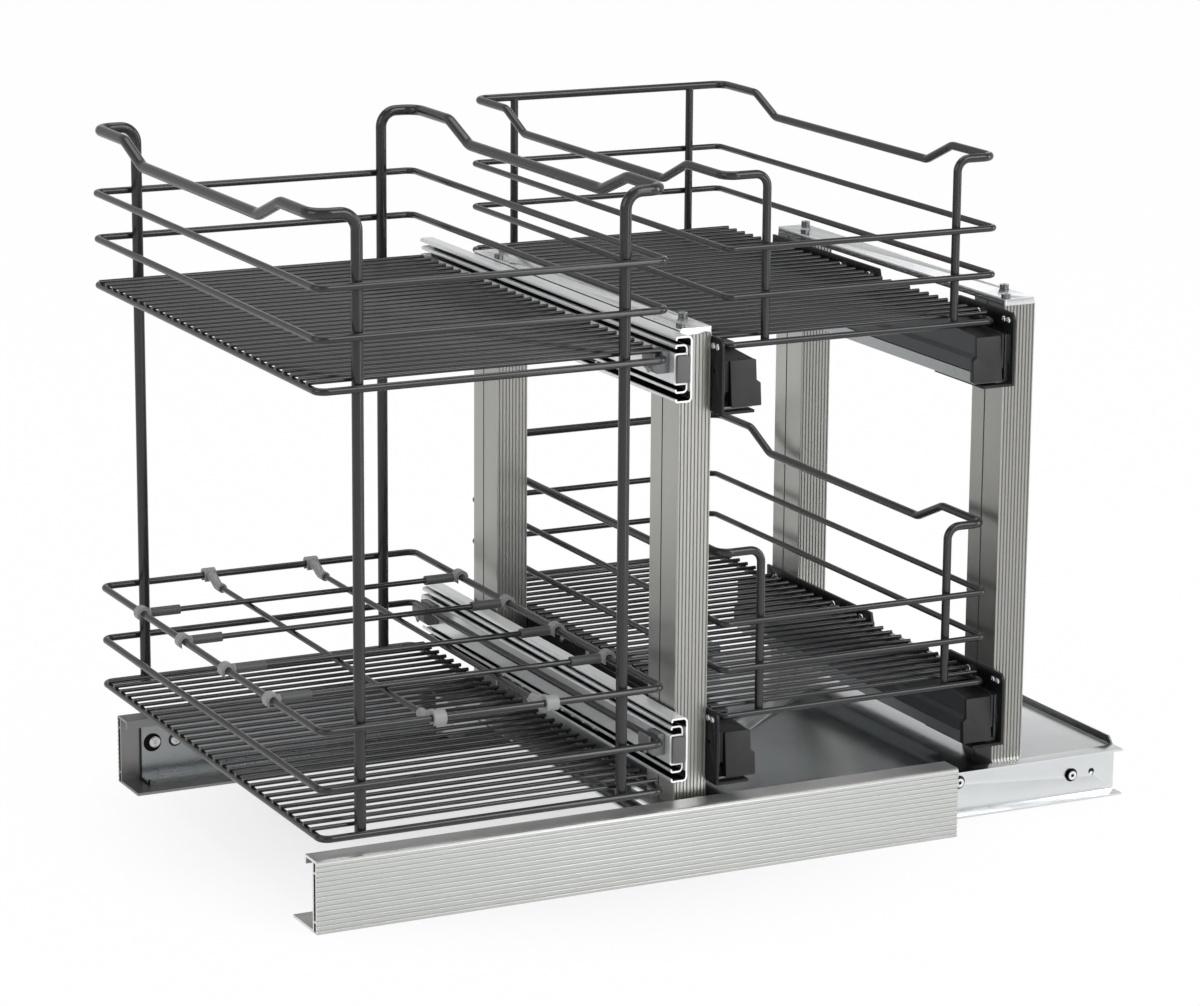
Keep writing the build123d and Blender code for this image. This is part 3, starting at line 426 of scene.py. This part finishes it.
ownFinish = {
    "rail_front": drawnMetal(
        "railFront", (0.66, 0.67, 0.65), (0.57, 0.58, 0.565), "X", 0.36, shade=frontRail),
    # painted shade: the far rail and its track take darker copies of the rail and zinc finishes
    "rail_far": drawnMetal("railFarShaded", (0.36, 0.365, 0.355), (0.30, 0.305, 0.297), "X", 0.36, shade=farRailShade),
    "track_far": galvanised("trackFarShaded", (0.44, 0.46, 0.47), (0.38, 0.40, 0.41), 0.26, shade=trackShade),
    "tray": galvanised("trayZinc", (0.77, 0.79, 0.80), (0.72, 0.74, 0.755), 0.21, shade=trayShade),
    "tray_screws": galvanised(
        "trayScrewSteel", (0.90, 0.90, 0.89), (0.80, 0.81, 0.81), 0.22, flake=screwFlake, shade=socketShade),
    "top_plate_screws": galvanised(
        "capScrewSteel", (0.62, 0.63, 0.63), (0.50, 0.51, 0.51), 0.30, flake=screwFlake, shade=capHeadShade),
    # painted light and shade: the two top plates take a lighter and a darker copy of one zinc finish
    "top_plate_right": galvanised("rightPlateZincShaded", (0.74, 0.76, 0.77), (0.69, 0.71, 0.72), 0.24),
    "top_plate_left": galvanised("leftPlateZincLit", (0.97, 0.98, 0.98), (0.92, 0.94, 0.95), 0.24),
    "slide_end_caps": moulded("capPlastic", (0.115, 0.116, 0.113), (0.095, 0.096, 0.094), 0.5),
}
raceBand = {"outer": 0.0068, "middle": 0.0060}
for level in ("upper", "lower"):
    ownFinish["runner_base_" + level] = galvanised(
        level + "RunnerZinc", (0.50, 0.52, 0.53), (0.40, 0.42, 0.43), 0.34, flake=300)
    ownFinish["hook_blocks_" + level] = moulded(
        level + "HookPlastic", (0.170, 0.175, 0.180), (0.140, 0.145, 0.150), 0.45)
    channels = {
        "outer": race("slide_outer_" + level, raceBand["outer"]),
        "middle": race("slide_middle_" + level, raceBand["middle"], outside=False),
        "inner": innerChannelShade,
    }
    for part, shade in channels.items():
        ownFinish[f"slide_{part}_{level}"] = drawnMetal(
            f"{part}{level}Steel", (0.96, 0.97, 0.97), (0.82, 0.85, 0.86), "Y", 0.22,
            metallic=0.5, shade=shade, cutEnd=slideCut)
slotOf = {entry["node"]: entry["material_slot"] for entry in frame["record"]["subparts"]}
for name, node in nodes.items():
    node.data.materials.clear()
    node.data.materials.append(ownFinish.get(name, finishes[slotOf[name]]))
print("finishes set")


# Modelling helpers
bodyOf = {node: body for body, held in frame["record"]["behaviour"]["bodies"].items() for node in held}


def pick(*chosen):
    bpy.ops.object.select_all(action="DESELECT")
    for piece in chosen:
        piece.select_set(True)
    bpy.context.view_layer.objects.active = chosen[0]


edgeStep = {
    "merge": 0.000004, "flat": math.radians(0.4), "segments": 2,
    "sharp": math.radians(35), "smooth": math.radians(38),
}


def softCopy(node, width):
    # the node's own shape with its hard edges broken
    made = bpy.data.objects.new(node + "_soft", nodes[node].data.copy())
    bpy.context.collection.objects.link(made)
    pick(made)
    if made.data.has_custom_normals:
        bpy.ops.mesh.customdata_custom_splitnormals_clear()
    bpy.ops.object.mode_set(mode="EDIT")
    bpy.ops.mesh.select_all(action="SELECT")
    bpy.ops.mesh.remove_doubles(threshold=edgeStep["merge"])
    bpy.ops.mesh.dissolve_limited(angle_limit=edgeStep["flat"])
    bpy.ops.object.mode_set(mode="OBJECT")
    rounded = made.modifiers.new("rounded", "BEVEL")
    rounded.width = width
    rounded.segments = edgeStep["segments"]
    rounded.limit_method = "ANGLE"
    rounded.angle_limit = edgeStep["sharp"]
    bpy.ops.object.modifier_apply(modifier="rounded")
    bpy.ops.object.shade_smooth_by_angle(angle=edgeStep["smooth"])
    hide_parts(node)
    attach(made, bodyOf[node])


edgeSet = {
    # node: how far its edges are broken, in metres
    "runner_blocks_upper": 0.0007, "runner_blocks_lower": 0.0007,
    "hook_blocks_upper": 0.0006, "hook_blocks_lower": 0.0006, "slide_end_caps": 0.0004,
    "bracket_upper_left": 0.0004, "bracket_upper_right": 0.0004,
    "bracket_lower_left": 0.0004, "bracket_lower_right": 0.0004,
    "top_plate_left": 0.0005, "top_plate_right": 0.0005, "top_plate_screws": 0.0004,
    "tray_screws": 0.0004, "track_screws": 0.0004, "bracket_screws": 0.0008,
    "tray": 0.0003,
}
for node, width in edgeSet.items():
    softCopy(node, width)
print("edges broken on", len(edgeSet), "nodes")


headSet = {
    # shares of the head's height and radius
    "sides": 24, "drum": 0.4, "dome": ((0.32, 0.86), (0.20, 0.70), (0.08, 0.55)),
    "rim": 0.06, "socket": 0.35, "smooth": math.radians(45),
}


def button(radius, height):
    # a low domed head standing on z = 0, with a shallow round socket
    drum = headSet["drum"] * height
    bpy.ops.object.select_all(action="DESELECT")
    bpy.ops.mesh.primitive_cylinder_add(
        vertices=headSet["sides"], radius=radius, depth=drum, location=(0, 0, drum / 2))
    bpy.ops.object.transform_apply(location=True, rotation=True, scale=True)
    made = bpy.context.object
    bpy.ops.object.mode_set(mode="EDIT")
    bpy.ops.mesh.select_all(action="DESELECT")
    bpy.ops.object.mode_set(mode="OBJECT")
    for face in made.data.polygons:
        face.select = face.normal.z > nearlyFacing
    bpy.ops.object.mode_set(mode="EDIT")
    for rise, share in headSet["dome"]:
        bpy.ops.mesh.extrude_region_move(TRANSFORM_OT_translate={"value": (0, 0, rise * height)})
        bpy.ops.transform.resize(value=(share, share, 1), center_override=(0, 0, 0))
    bpy.ops.mesh.inset(thickness=headSet["rim"] * radius)
    bpy.ops.mesh.extrude_region_move(TRANSFORM_OT_translate={"value": (0, 0, -headSet["socket"] * height)})
    bpy.ops.object.mode_set(mode="OBJECT")
    bpy.ops.object.shade_smooth_by_angle(angle=headSet["smooth"])
    return made


def spread(model, name, places, body, slot):
    # one copy of the model at each place and facing, joined into one piece
    copies = []
    for where, way in places:
        each = bpy.data.objects.new(name, model.data.copy())
        bpy.context.collection.objects.link(each)
        turned = Vector(way).to_track_quat("Z", "X").to_matrix().to_4x4()
        each.matrix_world = Matrix.Translation(where) @ turned
        copies.append(each)
    bpy.data.objects.remove(model)
    pick(*copies)
    bpy.ops.object.transform_apply(location=True, rotation=True, scale=True)
    bpy.ops.object.join()
    joined = bpy.context.object
    joined.name = name
    joined.data.materials.clear()
    joined.data.materials.append(finishes[slot])
    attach(joined, body)
    return joined


# Rivets at the tips of the brackets
rivetSet = {
    "radius": 0.0023, "height": 0.0013, "ahead": (-0.1647, -0.1709), "rise": 0.0012,
    "basketFloors": (0.3687, 0.1047), "bracketSheet": 0.002,
}
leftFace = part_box("bracket_upper_left")[0][0]
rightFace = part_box("bracket_upper_right")[1][0] - rivetSet["bracketSheet"]
rivets = [
    ((x, y, height + rivetSet["rise"]), leftward)
    for height in rivetSet["basketFloors"] for x in (leftFace, rightFace) for y in rivetSet["ahead"]
]
spread(button(rivetSet["radius"], rivetSet["height"]), "tipRivets", rivets, "frame", "screw_steel")
print("rivets made")


# Screws in the left faces of the hook blocks
hookScrewSet = {
    "radius": 0.0027, "height": 0.0012, "along": (-0.1675, 0.2170), "lip": 0.0034, "drop": 0.0086,
    "pale": (0.34, 0.34, 0.34), "deep": (0.26, 0.26, 0.26), "roughness": 0.28,
}
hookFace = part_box("hook_blocks_upper")[0][0]
hookScrews = []
for node in ("hook_blocks_upper", "hook_blocks_lower"):
    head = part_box(node)[1][2] - hookScrewSet["lip"]
    for y in hookScrewSet["along"]:
        hookScrews.append(((hookFace, y, head - hookScrewSet["drop"]), leftward))
hookScrewModel = button(hookScrewSet["radius"], hookScrewSet["height"])
held = spread(hookScrewModel, "hookScrews", hookScrews, bodyOf["hook_blocks_upper"], "screw_steel")
held.data.materials[0] = galvanised(
    "hookScrewSteel", hookScrewSet["pale"], hookScrewSet["deep"], hookScrewSet["roughness"],
    flake=screwFlake)
print("hook screws made")


# Floor and backdrop
stageSet = {
    "half": 14.0, "colour": 0.86, "roughness": 0.9, "specular": 0.1, "nearWhite": 0.62, "farWhite": 0.98,
    "nearEdge": 0.12, "farEdge": 0.36, "mirrored": 0.35,
}


def studioWhite(name):
    # a matt floor that glows toward the camera, least beside the object so that its shadow stays
    s = stageSet
    m = Shader(name)
    path = m.tree.nodes.new("ShaderNodeLightPath")
    m.feed(
        Base_Color=(s["colour"], s["colour"], s["colour"], 1),
        Roughness=s["roughness"], Specular_IOR_Level=s["specular"])
    glow = m.tree.nodes.new("ShaderNodeEmission")
    glow.inputs["Color"].default_value = (1, 1, 1, 1)
    glow.inputs["Strength"].default_value = 1.0
    mirrored = Sock(m, path.outputs["Is Glossy Ray"]) + Sock(m, path.outputs["Is Transmission Ray"])
    away = m.node("ShaderNodeVectorMath", {"operation": "LENGTH"}, [m.place], 1)
    white = m.node(
        "ShaderNodeMapRange", {"interpolation_type": "SMOOTHSTEP"},
        {"Value": away, "From Min": s["nearEdge"], "From Max": s["farEdge"],
         "To Min": s["nearWhite"], "To Max": s["farWhite"]})
    seen = Sock(m, path.outputs["Is Camera Ray"]) * white + mirrored.clamp() * (white * s["mirrored"])
    mixed = m.node("ShaderNodeMixShader", {}, {0: seen})
    mix = mixed.out.node
    m.tree.links.new(m.surface.outputs[0], mix.inputs[1])
    m.tree.links.new(glow.outputs[0], mix.inputs[2])
    m.tree.links.new(mix.outputs[0], m.tree.nodes["Material Output"].inputs["Surface"])
    return m.material


bpy.ops.object.select_all(action="DESELECT")
bpy.ops.mesh.primitive_plane_add(size=2 * stageSet["half"], location=(0, 0, 0))
floor = bpy.context.object
floor.name = "studioFloor"
floor.data.materials.append(studioWhite("floorWhite"))


# Light
lightSet = {
    "horizon": 0.75, "zenith": 0.30, "skyTop": 0.8,
    "lamps": [
        # name, place, aimed at, width, height, watts
        ("keyPanel", (1.6, -2.6, 2.4), (0.1, 0, 0.25), 2.2, 2.2, 55),
        ("rightStrip", (3.0, -1.2, 0.9), (0.1, 0, 0.25), 0.7, 1.8, 22),
        ("leftPanel", (-3.0, -0.6, 1.8), (0.0, 0, 0.25), 2.0, 2.0, 22),
        ("topPanel", (0.2, 0.8, 3.2), (0.1, 0, 0.2), 2.6, 2.6, 38),
        ("lowCard", (2.20, 2.75, 0.95), (0.29, 0.05, 0.30), 0.56, 0.80, 1.1),
        ("frontStrip", (0.34, -0.92, 0.40), (-0.1, -0.1, 0.40), 0.12, 0.8, 1.0),
    ],
}
world = bpy.data.worlds.new("studio")
bpy.context.scene.world = world
world.use_nodes = True
sky = world.node_tree
background = sky.nodes["Background"]
background.inputs["Color"].default_value = (1, 1, 1, 1)
heading = sky.nodes.new("ShaderNodeTexCoord")
parts = sky.nodes.new("ShaderNodeSeparateXYZ")
fall = sky.nodes.new("ShaderNodeMapRange")
fall.inputs["From Min"].default_value = 0.0
fall.inputs["From Max"].default_value = lightSet["skyTop"]
fall.inputs["To Min"].default_value = lightSet["horizon"]
fall.inputs["To Max"].default_value = lightSet["zenith"]
sky.links.new(heading.outputs["Generated"], parts.inputs[0])
sky.links.new(parts.outputs["Z"], fall.inputs["Value"])
sky.links.new(fall.outputs[0], background.inputs["Strength"])
bright = sky.nodes.new("ShaderNodeBackground")
bright.inputs["Color"].default_value = (1, 1, 1, 1)
bright.inputs["Strength"].default_value = 1.0
path = sky.nodes.new("ShaderNodeLightPath")
both = sky.nodes.new("ShaderNodeMixShader")
sky.links.new(path.outputs["Is Camera Ray"], both.inputs[0])
sky.links.new(background.outputs[0], both.inputs[1])
sky.links.new(bright.outputs[0], both.inputs[2])
sky.links.new(both.outputs[0], sky.nodes["World Output"].inputs["Surface"])

for name, place, aim, width, height, watts in lightSet["lamps"]:
    lamp = bpy.data.lights.new(name, "AREA")
    lamp.shape = "RECTANGLE"
    lamp.size = width
    lamp.size_y = height
    lamp.energy = watts
    holder = bpy.data.objects.new(name, lamp)
    holder.location = place
    holder.rotation_euler = (Vector(aim) - Vector(place)).to_track_quat("-Z", "Y").to_euler()
    bpy.context.collection.objects.link(holder)


# Camera
cameraSet = {
    # fitted to the photograph's straight edges, angles in degrees, lens in mm on a 36 mm wide sensor
    "place": (-1.27157, -2.65448, 0.93854), "yaw": 26.56, "down": 13.54, "roll": 0.43,
    "lens": 126.56, "sensor": 36.0, "clip": (0.05, 100),
}
lens = bpy.data.cameras.new("photoCamera")
lens.sensor_fit = "HORIZONTAL"
lens.sensor_width = cameraSet["sensor"]
lens.lens = cameraSet["lens"]
lens.clip_start, lens.clip_end = cameraSet["clip"]
camera = bpy.data.objects.new("photoCamera", lens)
bpy.context.collection.objects.link(camera)
camera.location = cameraSet["place"]
turn = Matrix.Rotation(-math.radians(cameraSet["yaw"]), 4, "Z")
turn = turn @ Matrix.Rotation(math.radians(90 - cameraSet["down"]), 4, "X")
camera.rotation_euler = (turn @ Matrix.Rotation(math.radians(cameraSet["roll"]), 4, "Z")).to_euler()
bpy.context.scene.camera = camera
bpy.context.scene.view_settings.view_transform = "Standard"
print("camera and light set")
